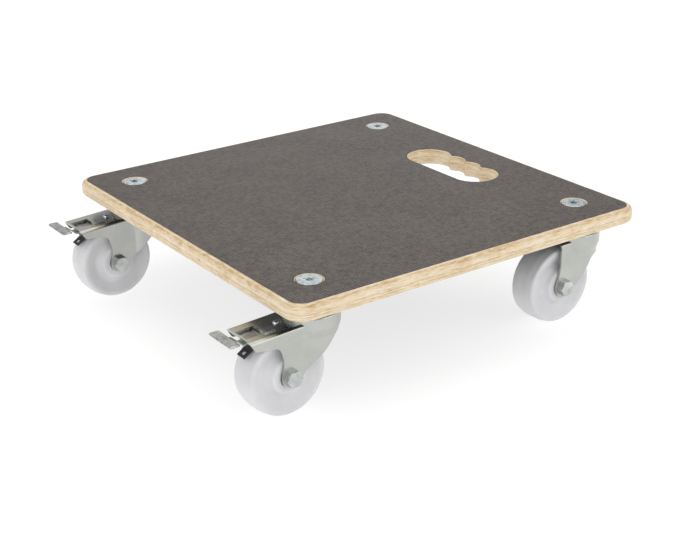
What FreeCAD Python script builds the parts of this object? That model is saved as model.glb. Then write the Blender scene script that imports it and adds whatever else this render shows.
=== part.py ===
import FreeCAD, Part
import math
import operator
import os
import types

import Sketcher
from FreeCAD import Placement, Rotation, Vector

# Furniture dolly: a film-faced plywood deck with a hand hole, on four swivel casters, two of them
# with a wheel brake. Millimetres, +Z up, the floor at z = 0. +X points to the hand hole, and the
# brake pedals point to -X. The origin is the middle of the footprint, pedals included.

doc = FreeCAD.newDocument("furniture_dolly")

# ---------------------------------------------------------------------------------------------
# Driving dimensions
# ---------------------------------------------------------------------------------------------

DRIVING_SIZES = {
    # deck
    "deck_length": 510,
    "deck_width": 520,
    "deck_thickness": 21,
    "deck_height": 147,
    "deck_corner": 24,
    "deck_round_over": 7,
    "film_thickness": 0.3,
    "slot_edge_round": 1.2,
    # hand hole, seen from above: two round ends and finger lobes along its outer side
    "slot_centre_x": 170.4,
    "slot_half_width": 29.8,
    "finger_pitch": 31,
    "finger_depth": 6.2,
    "finger_radius": 18,
    # fixing bolts through the deck
    "axis_x": 198,
    "axis_y": 202,
    "bolt_radius": 5,
    "bolt_hole_radius": 5.3,
    "bolt_head_radius": 15,
    "bolt_head_height": 3,
    "bolt_head_sink": 0.2,
    "bolt_tip_height": 95.5,
    "socket_flats": 8,
    "socket_depth": 3.4,
    "head_seat_radius": 15.3,
    "head_seat_chamfer": 1.2,
    # swivel head
    "crown_height": 108,
    "bowl_height": 116,
    "bowl_radius": 31,
    "dome_height": 117,
    "rim_radius": 34,
    "sheet": 2.5,
    "king_bore": 5.3,
    "king_radius": 7,
    "king_hole": 8,
    "ball_radius": 3,
    "upper_track": 28,
    "lower_track": 13,
    "running_gap": 0.15,
    "cup_floor": 108.2,
    "cup_foot": 104.5,
    "rivet_foot": 102.5,
    "washer_thickness": 1.2,
    "nut_thickness": 5,
    # forks
    "fork_width": 50,
    "braked_trail": 42,
    "free_trail": 34,
    "nose_reach": 92.5,
    "nose_drop": 3,
    "sheet_bend": 4,
    "window_front": 90,
    "window_back": 67,
    "window_near": 12,
    "window_far": 11,
    # wheels
    "wheel_radius": 50,
    "wheel_width": 36,
    "tread_flat": 16,
    "tread_shoulder": 47.8,
    "rim_inner": 42.5,
    "web_half": 10.5,
    "hub_radius": 21,
    "hub_half": 21,
    "bearing_radius": 11.7,
    "cage_cap_radius": 12.2,
    "cage_cap_face": 22.2,
    "roller_radius": 1.9,
    "roller_pitch": 9.65,
    "roller_length": 36,
    # axles
    "axle_radius": 6,
    "axle_clearance": 0.08,
    "axle_flats": 18,
    "axle_head_height": 7.5,
    "axle_nut_height": 10,
    "axle_tip": 37,
    "tube_radius": 7.55,
    # brakes
    "pin_x": -68,
    "pin_z": 98.9,
    "pin_radius": 2,
    "eye_radius": 3.4,
    "lever_width": 24,
    "lever_sheet": 2,
    "pedal_width": 46,
    "pedal_reach": 116,
    "pedal_height": 107,
    "leaf_width": 14,
    "rivet_x": -45,
    "spring_sheet": 0.8,
}


class Size:
    """A length kept both as a number and as the sheet expression that it comes from."""

    def __init__(self, number, text):
        self.number = number
        self.text = text

    def __add__(self, other):
        return combine(self, "+", other)

    def __radd__(self, other):
        return combine(other, "+", self)

    def __sub__(self, other):
        return combine(self, "-", other)

    def __rsub__(self, other):
        return combine(other, "-", self)

    def __mul__(self, other):
        return combine(self, "*", other)

    def __rmul__(self, other):
        return combine(other, "*", self)

    def __truediv__(self, other):
        return combine(self, "/", other)

    def __neg__(self):
        return combine(0, "-", self)


OPERATIONS = {"+": operator.add, "-": operator.sub, "*": operator.mul, "/": operator.truediv}


def as_size(value):
    """Let a plain number stand where a Size is expected."""
    if isinstance(value, Size):
        return value
    return Size(float(value), f"{value:.6f}")


def combine(left, sign, right):
    """Join two lengths by one arithmetic sign, in number and in expression."""
    left = as_size(left)
    right = as_size(right)
    number = OPERATIONS[sign](left.number, right.number)
    return Size(number, f"({left.text} {sign} {right.text})")


def fill_sheet(values):
    """Write the driving dimensions to the spreadsheet and give each back as a Size."""
    sheet = doc.addObject("Spreadsheet::Sheet", "sizes")
    for row, (alias, value) in enumerate(values.items(), start=1):
        sheet.set(f"A{row}", alias)
        sheet.set(f"B{row}", str(value))
        sheet.setAlias(f"B{row}", alias)
    doc.recompute()
    sized = {alias: Size(float(value), f"sizes.{alias}") for alias, value in values.items()}
    return types.SimpleNamespace(**sized)


S = fill_sheet(DRIVING_SIZES)


# ---------------------------------------------------------------------------------------------
# Making sketches and features
# ---------------------------------------------------------------------------------------------


def bind(item, **sizes_by_property):
    """Drive properties of an object by sheet expressions."""
    for name, value in sizes_by_property.items():
        item.setExpression(name.replace("__", "."), as_size(value).text)


class Rules:
    """Constraints of a sketch, gathered first and then solved together."""

    def __init__(self, sketch):
        self.sketch = sketch
        self.constraints = []
        self.values = {}

    def add(self, *words, value=None):
        """Note one constraint, with the length that drives it if it is a dimension."""
        if value is not None:
            self.values[len(self.constraints)] = as_size(value)
            words += (as_size(value).number,)
        self.constraints.append(Sketcher.Constraint(*words))

    def place(self, geometry, end, x, y):
        """Fix one point at x and y from the sketch's origin."""
        self.add("DistanceX", -1, 1, geometry, end, value=x)
        self.add("DistanceY", -1, 1, geometry, end, value=y)

    def apply(self):
        """Give the constraints to the sketch and bind the dimensions to the sheet."""
        first = self.sketch.ConstraintCount
        self.sketch.addConstraint(self.constraints)
        for number, value in self.values.items():
            self.sketch.setExpression(f"Constraints[{first + number}]", value.text)


def rounded_corner(before, corner, after, radius):
    """A corner's rounding: its two touching points, its arc, and whether the outline turns left."""
    back = (before - corner).normalize()
    ahead = (after - corner).normalize()
    half = back.getAngle(ahead) / 2
    reach = radius / math.tan(half)
    centre = corner + (back + ahead).normalize() * (radius / math.sin(half))
    touch_in = corner + back * reach
    touch_out = corner + ahead * reach
    turns_left = back.cross(ahead).z < 0
    first, last = (touch_in, touch_out) if turns_left else (touch_out, touch_in)
    start = math.atan2(first.y - centre.y, first.x - centre.x)
    end = math.atan2(last.y - centre.y, last.x - centre.x)
    ring = Part.Circle(centre, Vector(0, 0, 1), radius)
    return touch_in, touch_out, Part.ArcOfCircle(ring, start, end), turns_left


def outline(sketch, corners):
    """Closed outline of straight sides through corners (x, y) or (x, y, rounding radius)."""
    points = [Vector(as_size(c[0]).number, as_size(c[1]).number, 0) for c in corners]
    count = len(corners)
    touch_in = list(points)
    touch_out = list(points)
    arcs = {}
    for i, corner in enumerate(corners):
        if len(corner) == 3:
            radius = as_size(corner[2]).number
            rounded = rounded_corner(points[i - 1], points[i], points[(i + 1) % count], radius)
            touch_in[i], touch_out[i], *arcs[i] = rounded
    sides = []
    for i in range(count):
        side = Part.LineSegment(touch_out[i], touch_in[(i + 1) % count])
        sides.append(sketch.addGeometry(side, False))
    rules = Rules(sketch)
    for i, corner in enumerate(corners):
        before = sides[i - 1]
        after = sides[i]
        if i not in arcs:
            rules.add("Coincident", before, 2, after, 1)
            rules.place(after, 1, corner[0], corner[1])
            continue
        shape, turns_left = arcs[i]
        arc = sketch.addGeometry(shape, False)
        first, last = (1, 2) if turns_left else (2, 1)
        vertex = sketch.addGeometry(Part.Point(points[i]), True)
        rules.place(vertex, 1, corner[0], corner[1])
        rules.add("PointOnObject", vertex, 1, before)
        rules.add("PointOnObject", vertex, 1, after)
        rules.add("Tangent", before, 2, arc, first)
        rules.add("Tangent", after, 1, arc, last)
        rules.add("Radius", arc, value=corner[2])
    rules.apply()


def circle(sketch, x, y, radius):
    """Full circle in a sketch."""
    x, y, radius = as_size(x), as_size(y), as_size(radius)
    shape = Part.Circle(Vector(x.number, y.number, 0), Vector(0, 0, 1), radius.number)
    index = sketch.addGeometry(shape, False)
    rules = Rules(sketch)
    rules.place(index, 3, x, y)
    rules.add("Radius", index, value=radius)
    rules.apply()


def hexagon(sketch, flats):
    """Regular hexagon about the sketch's origin, by its width across flats."""
    flat = flats / 2
    point = flats / math.sqrt(3)
    half = point / 2
    outline(sketch, [(point, 0), (half, flat), (-half, flat), (-point, 0), (-half, -flat), (half, -flat)])


def rectangle(sketch, low_x, high_x, low_y, high_y, *rounding):
    """Upright rectangle, with its corners rounded if a radius is given."""
    outline(
        sketch,
        [
            (low_x, low_y, *rounding),
            (high_x, low_y, *rounding),
            (high_x, high_y, *rounding),
            (low_x, high_y, *rounding),
        ],
    )


def new_body(label, placement=Placement()):
    """Empty PartDesign body, standing where its sub-part belongs."""
    body = doc.addObject("PartDesign::Body", label)
    body.Label = label
    body.Placement = placement
    return body


def origin_part(body, role):
    """One of a body's own origin planes or axes."""
    return next(item for item in body.Origin.OriginFeatures if item.Role == role)


def plane_sketch(body, plane, offset=0):
    """Sketch on one of the body's own origin planes, lifted along the plane's normal."""
    sketch = body.newObject("Sketcher::SketchObject", "sketch")
    sketch.AttachmentSupport = [(origin_part(body, plane), "")]
    sketch.MapMode = "FlatFace"
    bind(sketch, AttachmentOffset__Base__z=offset)
    return sketch


def pad(body, sketch, length, **options):
    """Pad a sketch; options are the feature's own properties."""
    feature = body.newObject("PartDesign::Pad", "pad")
    feature.Profile = sketch
    bind(feature, Length=length)
    for name, value in options.items():
        setattr(feature, name, value)
    return feature


def pocket(body, sketch, length=None, **options):
    """Cut a sketch to a depth, or right through the body when no depth is given."""
    feature = body.newObject("PartDesign::Pocket", "pocket")
    feature.Profile = sketch
    if length is None:
        feature.Type = "ThroughAll"
        feature.SideType = "Symmetric"
    else:
        bind(feature, Length=length)
    for name, value in options.items():
        setattr(feature, name, value)
    return feature


def turn(body, sketch, kind="Revolution"):
    """Turn a sketch about its own upright axis, to add a round solid or cut a round groove."""
    feature = body.newObject(f"PartDesign::{kind}", kind.lower())
    feature.Profile = sketch
    feature.ReferenceAxis = (sketch, ["V_Axis"])
    feature.Angle = 360
    return feature


def polar_copies(body, features, role, count):
    """Repeat features evenly about one of the body's own axes."""
    pattern = body.newObject("PartDesign::PolarPattern", "polar_pattern")
    pattern.Originals = features
    pattern.Axis = (origin_part(body, role), [""])
    pattern.Angle = 360
    pattern.Occurrences = count
    body.Tip = pattern
    return pattern


def round_edges(body, wanted, radius):
    """Round the edges of the body's last feature that the test picks out."""
    doc.recompute()
    base = body.Tip
    names = [f"Edge{i}" for i, edge in enumerate(base.Shape.Edges, start=1) if wanted(edge)]
    fillet = body.newObject("PartDesign::Fillet", "fillet")
    fillet.Base = (base, names)
    bind(fillet, Radius=radius)
    return fillet


def turned_body(label, placement, plane, corners):
    """Body of revolution from one closed half section, x from the axis and y along it."""
    body = new_body(label, placement)
    section = plane_sketch(body, plane)
    outline(section, corners)
    turn(body, section)
    return body


def gather(label, members):
    """One node made of several separate, like solids."""
    compound = doc.addObject("Part::Compound", label)
    compound.Label = label
    compound.Links = members
    return compound


# ---------------------------------------------------------------------------------------------
# Places
# ---------------------------------------------------------------------------------------------

DECK_X = (S.axis_x + S.pedal_reach - S.deck_length / 2) / 2
DECK_BOTTOM = S.deck_height - S.deck_thickness
CORE_THICKNESS = S.deck_thickness - S.film_thickness * 2
CORNER_SIGNS = [(-1, -1), (-1, 1), (1, -1), (1, 1)]


class Caster:
    """Where one caster stands. Left and right are as seen from the hand hole's end."""

    def __init__(self, name, side_x, side_y, trail):
        self.name = name
        self.trail = trail
        self.x = DECK_X + S.axis_x * side_x
        self.y = S.axis_y * side_y

    def on_axis(self):
        """Place on the floor under the swivel axis."""
        return Placement(Vector(self.x.number, self.y.number, 0), Rotation())

    def at_axle(self):
        """Place at the middle of the wheel."""
        x = self.x - self.trail
        return Placement(Vector(x.number, self.y.number, S.wheel_radius.number), Rotation())


BRAKED = [
    Caster("braked_left", -1, -1, S.braked_trail),
    Caster("braked_right", -1, 1, S.braked_trail),
]
FREE = [
    Caster("free_left", 1, -1, S.free_trail),
    Caster("free_right", 1, 1, S.free_trail),
]
CASTERS = BRAKED + FREE

# ---------------------------------------------------------------------------------------------
# Deck: plywood core, and the film pressed on its two faces
# ---------------------------------------------------------------------------------------------


def nearest_ends(ahead, behind):
    """Which ends of two curves meet: 1 for a start, 2 for an end."""
    ends = {1: "StartPoint", 2: "EndPoint"}
    pairs = [(a, b) for a in ends for b in ends]

    def gap(pair):
        return getattr(ahead, ends[pair[0]]).distanceToPoint(getattr(behind, ends[pair[1]]))

    return min(pairs, key=gap)


def hand_hole(sketch, grow=0):
    """Outline of the hand hole: straight inner side, round ends, four finger lobes outside.

    The lobes are hollow arcs and the three humps between them are full arcs, each tangent to
    the next, so the sum of their radii follows from the pitch and the depth of the lobes.
    """
    half_pitch = S.finger_pitch / 2
    end_y = half_pitch * 3
    both_radii = (S.finger_depth * S.finger_depth + half_pitch * half_pitch) / (S.finger_depth * 2)
    lobe_radius = S.finger_radius + grow
    hump_radius = both_radii.number - lobe_radius.number
    end_radius = S.slot_half_width.number + grow
    lobe_x = S.slot_centre_x + S.slot_half_width - S.finger_radius
    hump_x = lobe_x + both_radii - S.finger_depth
    lean = math.asin(half_pitch.number / both_radii.number)
    rules = Rules(sketch)

    def arc(x, y, radius, start, end):
        ring = Part.Circle(Vector(x.number, y.number, 0), Vector(0, 0, 1), radius)
        index = sketch.addGeometry(Part.ArcOfCircle(ring, start, end), False)
        rules.place(index, 3, x, y)
        return index

    near_x = S.slot_centre_x.number - end_radius
    inner = Part.LineSegment(Vector(near_x, end_y.number, 0), Vector(near_x, -end_y.number, 0))
    chain = [sketch.addGeometry(inner, False)]
    chain.append(arc(S.slot_centre_x, -end_y, end_radius, math.pi, 2 * math.pi))
    for number in (-3, -1, 1, 3):
        start = 0 if number == -3 else -lean
        end = 0 if number == 3 else lean
        chain.append(arc(lobe_x, half_pitch * number, lobe_radius.number, start, end))
        if number < 3:
            hump_y = half_pitch * (number + 1)
            chain.append(arc(hump_x, hump_y, hump_radius, math.pi - lean, math.pi + lean))
    chain.append(arc(S.slot_centre_x, end_y, end_radius, 0, math.pi))
    rules.add("Radius", chain[2], value=lobe_radius)
    for index, following in zip(chain, chain[1:] + chain[:1]):
        ends = nearest_ends(sketch.Geometry[index], sketch.Geometry[following])
        rules.add("Tangent", index, ends[0], following, ends[1])
    rules.apply()


def four_circles(sketch, radius):
    """The same circle over each caster's axis."""
    for side_x, side_y in CORNER_SIGNS:
        circle(sketch, S.axis_x * side_x, S.axis_y * side_y, radius)


def deck_place(height):
    """Place over the middle of the deck at a height."""
    return Placement(Vector(DECK_X.number, 0, height.number), Rotation())


def platform_core():
    """Birch plywood board with rounded edges, the hand hole and four counterbored bolt holes."""
    body = new_body("platform_core", deck_place(DECK_BOTTOM + S.film_thickness))
    half_length = S.deck_length / 2
    half_width = S.deck_width / 2
    plan = plane_sketch(body, "XY_Plane")
    rectangle(plan, -half_length, half_length, -half_width, half_width, S.deck_corner)
    pad(body, plan, CORE_THICKNESS)

    def lies_flat(edge):
        return edge.BoundBox.ZLength < 1e-6

    round_edges(body, lies_flat, S.deck_round_over - S.film_thickness)

    hole = plane_sketch(body, "XY_Plane")
    hand_hole(hole)
    pocket(body, hole)
    slot_low = S.slot_centre_x.number - S.slot_half_width.number - 1
    slot_high = S.slot_centre_x.number + S.slot_half_width.number + 1

    def rims_slot(edge):
        box = edge.BoundBox
        inside = box.XMin > slot_low and box.XMax < slot_high and abs(box.Center.y) < 100
        return box.ZLength < 1e-6 and inside

    round_edges(body, rims_slot, S.slot_edge_round)

    bolt_holes = plane_sketch(body, "XY_Plane")
    four_circles(bolt_holes, S.bolt_hole_radius)
    pocket(body, bolt_holes)
    seats = plane_sketch(body, "XY_Plane", CORE_THICKNESS)
    four_circles(seats, S.head_seat_radius)
    pocket(body, seats, S.bolt_head_height + S.bolt_head_sink - S.film_thickness)
    rims = plane_sketch(body, "XY_Plane", CORE_THICKNESS)
    four_circles(rims, S.head_seat_radius + S.head_seat_chamfer)
    pocket(body, rims, S.head_seat_chamfer, TaperAngle=-45)
    return body


def film(label, height, hole_radius):
    """Film on one face, as far as the deck's edges stay flat, with the core's openings."""
    body = new_body(label, deck_place(height))
    half_length = S.deck_length / 2 - S.deck_round_over
    half_width = S.deck_width / 2 - S.deck_round_over
    plan = plane_sketch(body, "XY_Plane")
    corner = S.deck_corner - S.deck_round_over
    rectangle(plan, -half_length, half_length, -half_width, half_width, corner)
    hand_hole(plan, DRIVING_SIZES["slot_edge_round"])
    four_circles(plan, hole_radius)
    pad(body, plan, S.film_thickness)
    return body


# ---------------------------------------------------------------------------------------------
# Fixings: one bolt through the deck and each caster's hollow rivet, with washer and nut
# ---------------------------------------------------------------------------------------------


def fixing_bolt(caster):
    """Flat-headed bolt with a hexagon socket, its head let into the deck."""
    head_top = S.deck_height - S.bolt_head_sink
    head_foot = head_top - S.bolt_head_height
    tip = S.bolt_tip_height
    ring_radius = S.socket_flats * 0.8
    ring_depth = 0.4
    body = turned_body(
        f"fixing_bolt_{caster.name}",
        caster.on_axis(),
        "XZ_Plane",
        [
            (0, tip),
            (S.bolt_radius - 1, tip),
            (S.bolt_radius, tip + 1),
            (S.bolt_radius, head_foot),
            (S.bolt_head_radius, head_foot),
            (S.bolt_head_radius, head_top, 0.8),
            (ring_radius, head_top),
            (ring_radius, head_top - ring_depth),
            (0, head_top - ring_depth),
        ],
    )
    socket = plane_sketch(body, "XY_Plane", head_top)
    hexagon(socket, S.socket_flats)
    pocket(body, socket, S.socket_depth)
    return body


def fixing_washer(caster):
    """Plain washer under the caster's hollow rivet."""
    body = new_body(f"fixing_washer_{caster.name}", caster.on_axis())
    ring = plane_sketch(body, "XY_Plane", S.rivet_foot - S.washer_thickness)
    circle(ring, 0, 0, S.bolt_radius * 2)
    circle(ring, 0, 0, S.bolt_radius + 0.3)
    pad(body, ring, S.washer_thickness)
    return body


def fixing_nut(caster):
    """Thin hexagon nut on the fixing bolt."""
    body = new_body(f"fixing_nut_{caster.name}", caster.on_axis())
    flats = S.bolt_radius * 3.4
    ring = plane_sketch(body, "XY_Plane", S.rivet_foot - S.washer_thickness - S.nut_thickness)
    hexagon(ring, flats)
    circle(ring, 0, 0, S.bolt_radius + 0.05)
    pad(body, ring, S.nut_thickness)
    return body


def king_rivet(caster):
    """Hollow rivet that holds the swivel head together, flanged at its foot."""
    flange = S.king_radius + 4
    return turned_body(
        f"king_rivet_{caster.name}",
        caster.on_axis(),
        "XZ_Plane",
        [
            (S.king_bore, S.rivet_foot),
            (flange, S.rivet_foot),
            (flange, S.cup_foot),
            (S.king_radius, S.cup_foot),
            (S.king_radius, DECK_BOTTOM),
            (S.king_bore, DECK_BOTTOM),
        ],
    )


# ---------------------------------------------------------------------------------------------
# Swivel head: pressed cover cup above the fork, two rings of balls, and the lower cup
# ---------------------------------------------------------------------------------------------

LOW_FIT = 0.1


def head_plate(caster):
    """Pressed cup under the deck, whose inside is the upper ball race."""
    bore = S.king_radius + LOW_FIT
    rim_foot = S.bowl_height + 1.5
    inside = S.rim_radius - S.sheet
    return turned_body(
        f"head_plate_{caster.name}",
        caster.on_axis(),
        "XZ_Plane",
        [
            (bore, DECK_BOTTOM - S.sheet),
            (inside, DECK_BOTTOM - S.sheet, 1.5),
            (inside, rim_foot),
            (S.rim_radius, rim_foot),
            (S.rim_radius, DECK_BOTTOM, 4),
            (bore, DECK_BOTTOM),
        ],
    )


def lower_race(caster):
    """Cup on the rivet's flange that carries the lower ring of balls."""
    bore = S.king_radius + LOW_FIT
    outside = S.lower_track + S.ball_radius + 1.5
    lip = S.cup_floor + 2
    return turned_body(
        f"lower_race_{caster.name}",
        caster.on_axis(),
        "XZ_Plane",
        [
            (bore, S.cup_foot),
            (outside, S.cup_foot, 1.5),
            (outside, lip),
            (outside - 1.1, lip),
            (outside - 1.1, S.cup_floor, 0.6),
            (bore, S.cup_floor),
        ],
    )


def swivel_balls(caster):
    """Both rings of bearing balls of one swivel head."""
    rings = [
        (S.upper_track, S.bowl_height, 20),
        (S.lower_track, S.cup_floor, 11),
    ]
    bodies = []
    for track, floor, count in rings:
        body = new_body(f"ball_ring_{caster.name}_{count}", caster.on_axis())
        ball = body.newObject("PartDesign::AdditiveSphere", "ball")
        ball.AttachmentSupport = [(origin_part(body, "XY_Plane"), "")]
        ball.MapMode = "FlatFace"
        height = floor + S.ball_radius + S.running_gap
        bind(ball, Radius=S.ball_radius, AttachmentOffset__Base__x=track, AttachmentOffset__Base__z=height)
        polar_copies(body, [ball], "Z_Axis", count)
        bodies.append(body)
    return gather(f"swivel_balls_{caster.name}", bodies)


# ---------------------------------------------------------------------------------------------
# Forks: pressed sheet. A solid blank less its own inside leaves the sheet, and an outline seen
# from the side then trims it.
# ---------------------------------------------------------------------------------------------

BOWL_DEPTH = 80


def solid_from_sketch(name, plane_turn, corners, width=None):
    """Solid outside a body: a section turned about Z, or extruded to both sides if it has a width."""
    sketch = doc.addObject("Sketcher::SketchObject", f"{name}_section")
    sketch.Placement = Placement(Vector(0, 0, 0), plane_turn)
    outline(sketch, corners)
    if width is None:
        solid = doc.addObject("Part::Revolution", name)
        solid.Source = sketch
        solid.Axis = Vector(0, 0, 1)
        solid.Base = Vector(0, 0, 0)
        solid.Angle = 360
    else:
        solid = doc.addObject("Part::Extrusion", name)
        solid.Base = sketch
        solid.DirMode = "Normal"
        bind(solid, LengthFwd=width)
        solid.Symmetric = True
    solid.Solid = True
    return solid


UPRIGHT = Rotation(Vector(1, 0, 0), 90)


def boolean(kind, name, *shapes):
    """Part::Cut, Part::Common or Part::MultiFuse of the given objects."""
    result = doc.addObject(f"Part::{kind}", name)
    if kind == "MultiFuse":
        result.Shapes = list(shapes)
    else:
        result.Base, result.Tool = shapes
    return result


def bowl(name, inset):
    """Round front of the fork with its raised race, or its hollow when inset by the sheet."""
    top = S.dome_height - inset
    crown = S.bowl_height - inset
    foot = S.bowl_height - BOWL_DEPTH
    dome = S.king_radius + 13 - inset * 0.6
    corners = [
        (0, foot),
        (S.bowl_radius - inset, foot),
        (S.bowl_radius - inset, S.bowl_height - 26, 8),
        (S.rim_radius - inset, S.bowl_height - 16, 8),
        (S.rim_radius - inset, crown, S.sheet_bend - inset),
        (dome + 3.6, crown, 1.5),
        (dome, top, 1.5),
        (0, top),
    ]
    return solid_from_sketch(name, UPRIGHT, corners)


def rail(name, inset, back, drop):
    """Channel that the two cheeks and the nose are cut from, or its hollow."""
    crown = S.crown_height - inset
    slope_start = -30
    slope_end = -110
    fall = drop * ((slope_start - slope_end) / (S.nose_reach.number + slope_start))
    front = 12 - inset * 1.6
    foot = 20 - inset * 4
    kink = [(slope_start, crown, 60)] if drop.number > 0 else []
    end = back - inset * 4
    corners = [(front, foot), (front, crown), *kink, (end, crown - fall), (end, foot)]
    solid = solid_from_sketch(name, UPRIGHT, corners, S.fork_width - inset * 2)
    doc.recompute()
    side = (S.fork_width.number - 2 * as_size(inset).number) / 2
    radius = S.sheet_bend.number - as_size(inset).number
    edges = []
    for index, edge in enumerate(solid.Shape.Edges, start=1):
        box = edge.BoundBox
        along_side = box.YLength < 1e-6 and abs(abs(box.YMin) - side) < 1e-6
        if along_side and box.ZMin > 90 and box.XLength > 1:
            edges.append((index, radius, radius))
    bent = doc.addObject("Part::Fillet", f"{name}_bent")
    bent.Base = solid
    bent.Edges = edges
    return bent


def bore(name, x, z, radius):
    """Cutter for a hole right across the fork."""
    tool = doc.addObject("Part::Cylinder", name)
    bind(tool, Radius=radius, Height=S.fork_width + 20)
    start = Vector(as_size(x).number, S.fork_width.number / 2 + 10, as_size(z).number)
    tool.Placement = Placement(start, UPRIGHT)
    return tool


def king_bore(name):
    """Cutter for the rivet's hole through the crown."""
    tool = doc.addObject("Part::Cylinder", name)
    bind(tool, Radius=S.king_hole, Height=30)
    tool.Placement = Placement(Vector(0, 0, 95), Rotation())
    return tool


def fork(caster, back, drop, side_view, cutters):
    """One fork: sheet from blank and hollow, trimmed to its side view, then pierced."""
    name = f"fork_{caster.name}"
    blank = boolean(
        "MultiFuse",
        f"{name}_blank",
        bowl(f"{name}_bowl", as_size(0)),
        rail(f"{name}_rail", as_size(0), back, drop),
    )
    hollow = boolean(
        "MultiFuse",
        f"{name}_hollow",
        bowl(f"{name}_bowl_inside", S.sheet),
        rail(f"{name}_rail_inside", S.sheet, back, drop),
    )
    shell = boolean("Cut", f"{name}_shell", blank, hollow)
    side = solid_from_sketch(f"{name}_side_view", UPRIGHT, side_view, S.rim_radius * 2 + 10)
    trimmed = boolean("Common", f"{name}_trimmed", shell, side)
    holes = boolean("MultiFuse", f"{name}_holes", king_bore(f"{name}_king_hole"), *cutters)
    pierced = boolean("Cut", name, trimmed, holes)
    pierced.Label = name
    pierced.Placement = caster.on_axis()
    return pierced


def braked_fork(caster):
    """Fork with a long nose that covers the brake, pierced by a window."""
    name = f"fork_{caster.name}"
    trail = caster.trail
    boss = 12
    axle = S.wheel_radius
    tip = -S.nose_reach
    side_view = [
        (tip, 130),
        (tip, 103.5),
        (tip + 6, 93.6, 4),
        (-56, 89.2, 9),
        (-50.5, 70, 30),
        (-trail - boss, axle + 2, 8),
        (-trail - boss, axle - boss, boss - 0.2),
        (-trail + boss, axle - boss, boss - 0.2),
        (-trail + boss + 1.5, axle - 2.5, 6),
        (14, 88.5, 14),
        (45, 97),
        (45, 130),
    ]
    window = doc.addObject("Part::Box", f"{name}_window")
    window_width = S.window_near + S.window_far
    bind(window, Length=S.window_front - S.window_back, Width=window_width, Height=20)
    window.Placement = Placement(
        Vector(-S.window_front.number, -S.window_near.number, S.crown_height.number - 15), Rotation()
    )
    rivet_hole = doc.addObject("Part::Cylinder", f"{name}_rivet_hole")
    bind(rivet_hole, Radius=1.8, Height=20)
    rivet_hole.Placement = Placement(Vector(S.rivet_x.number, 0, S.crown_height.number - 10), Rotation())
    cutters = [
        bore(f"{name}_axle_hole", -trail, axle, S.axle_radius + S.axle_clearance),
        bore(f"{name}_pin_hole", S.pin_x, S.pin_z, S.pin_radius + 0.05),
        window,
        rivet_hole,
    ]
    return fork(caster, -S.nose_reach - 12, S.nose_drop, side_view, cutters)


def free_fork(caster):
    """Short fork without a brake."""
    name = f"fork_{caster.name}"
    trail = caster.trail
    boss = 13
    axle = S.wheel_radius
    crown = S.crown_height
    side_view = [
        (-36, 130),
        (-36, crown + 0.01),
        (-40.5, crown + 0.01, 4),
        (-40.5, 80, 40),
        (-trail - boss + 4, axle + 14, 20),
        (-trail - boss, axle + 4, 8),
        (-trail - boss, axle - boss, boss - 0.2),
        (-trail + boss, axle - boss, boss - 0.2),
        (-trail + boss + 4, axle - 3, 8),
        (6, 84.5, 12),
        (45, 88),
        (45, 130),
    ]
    cutters = [bore(f"{name}_axle_hole", -trail, axle, S.axle_radius + S.axle_clearance)]
    return fork(caster, as_size(-60), as_size(0), side_view, cutters)


# ---------------------------------------------------------------------------------------------
# Axle: through bolt, nut, and the tube that keeps the cheeks apart
# ---------------------------------------------------------------------------------------------


def chamfer_hexagon(body, flats, face, inward):
    """Turn the corners off one face of a hexagon that stands along Y."""
    corner = flats / math.sqrt(3) + 0.5
    start = flats / 2 - 0.3
    slope = (corner - start) * 0.5
    rim = plane_sketch(body, "XY_Plane")
    outline(rim, [(start, face), (corner, face + 0.5 * -inward), (corner, face + slope * inward)])
    turn(body, rim, "Groove")


def axle_bolt(caster):
    """Hexagon bolt across the fork, its head on the -Y cheek."""
    outer = S.fork_width / 2
    head_face = -outer - S.axle_head_height
    body = turned_body(
        f"axle_bolt_{caster.name}",
        caster.at_axle(),
        "XY_Plane",
        [
            (0, -outer - 1),
            (S.axle_radius, -outer - 1),
            (S.axle_radius, S.axle_tip - 1),
            (S.axle_radius - 1, S.axle_tip),
            (0, S.axle_tip),
        ],
    )
    head = plane_sketch(body, "XZ_Plane", outer)
    hexagon(head, S.axle_flats)
    pad(body, head, S.axle_head_height)
    chamfer_hexagon(body, S.axle_flats, head_face, 1)
    return body


def axle_nut(caster):
    """Hexagon nut on the axle bolt, on the +Y cheek."""
    outer = S.fork_width / 2
    body = new_body(f"axle_nut_{caster.name}", caster.at_axle())
    ring = plane_sketch(body, "XZ_Plane", -outer)
    hexagon(ring, S.axle_flats)
    circle(ring, 0, 0, S.axle_radius + 0.05)
    pad(body, ring, S.axle_nut_height, Reversed=True)
    chamfer_hexagon(body, S.axle_flats, outer + S.axle_nut_height, -1)
    return body


def axle_tube(caster):
    """Steel tube clamped between the cheeks, on which the rollers run."""
    inner_face = S.fork_width / 2 - S.sheet
    body = new_body(f"axle_tube_{caster.name}", caster.at_axle())
    ring = plane_sketch(body, "XZ_Plane")
    circle(ring, 0, 0, S.tube_radius)
    circle(ring, 0, 0, S.axle_radius + S.axle_clearance)
    pad(body, ring, inner_face * 2, SideType="Symmetric")
    return body


# ---------------------------------------------------------------------------------------------
# Wheel: polyamide moulding, with a caged roller bearing in its hub
# ---------------------------------------------------------------------------------------------


def wheel(caster):
    """Solid moulded wheel: crowned tread, dished sides, hub standing out of the dish."""
    half = S.wheel_width / 2
    side = [
        (S.bearing_radius, S.hub_half, 0.8),
        (S.hub_radius, S.hub_half, 4),
        (S.hub_radius + 3.5, S.web_half, 7.5),
        (S.rim_inner, half - 0.01, 5),
        (S.tread_shoulder, half, 3),
        (S.wheel_radius, S.tread_flat / 2, 14),
    ]
    mirrored = [(corner[0], -corner[1], *corner[2:]) for corner in reversed(side)]
    return turned_body(f"wheel_{caster.name}", caster.at_axle(), "XY_Plane", side + mirrored)


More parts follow.
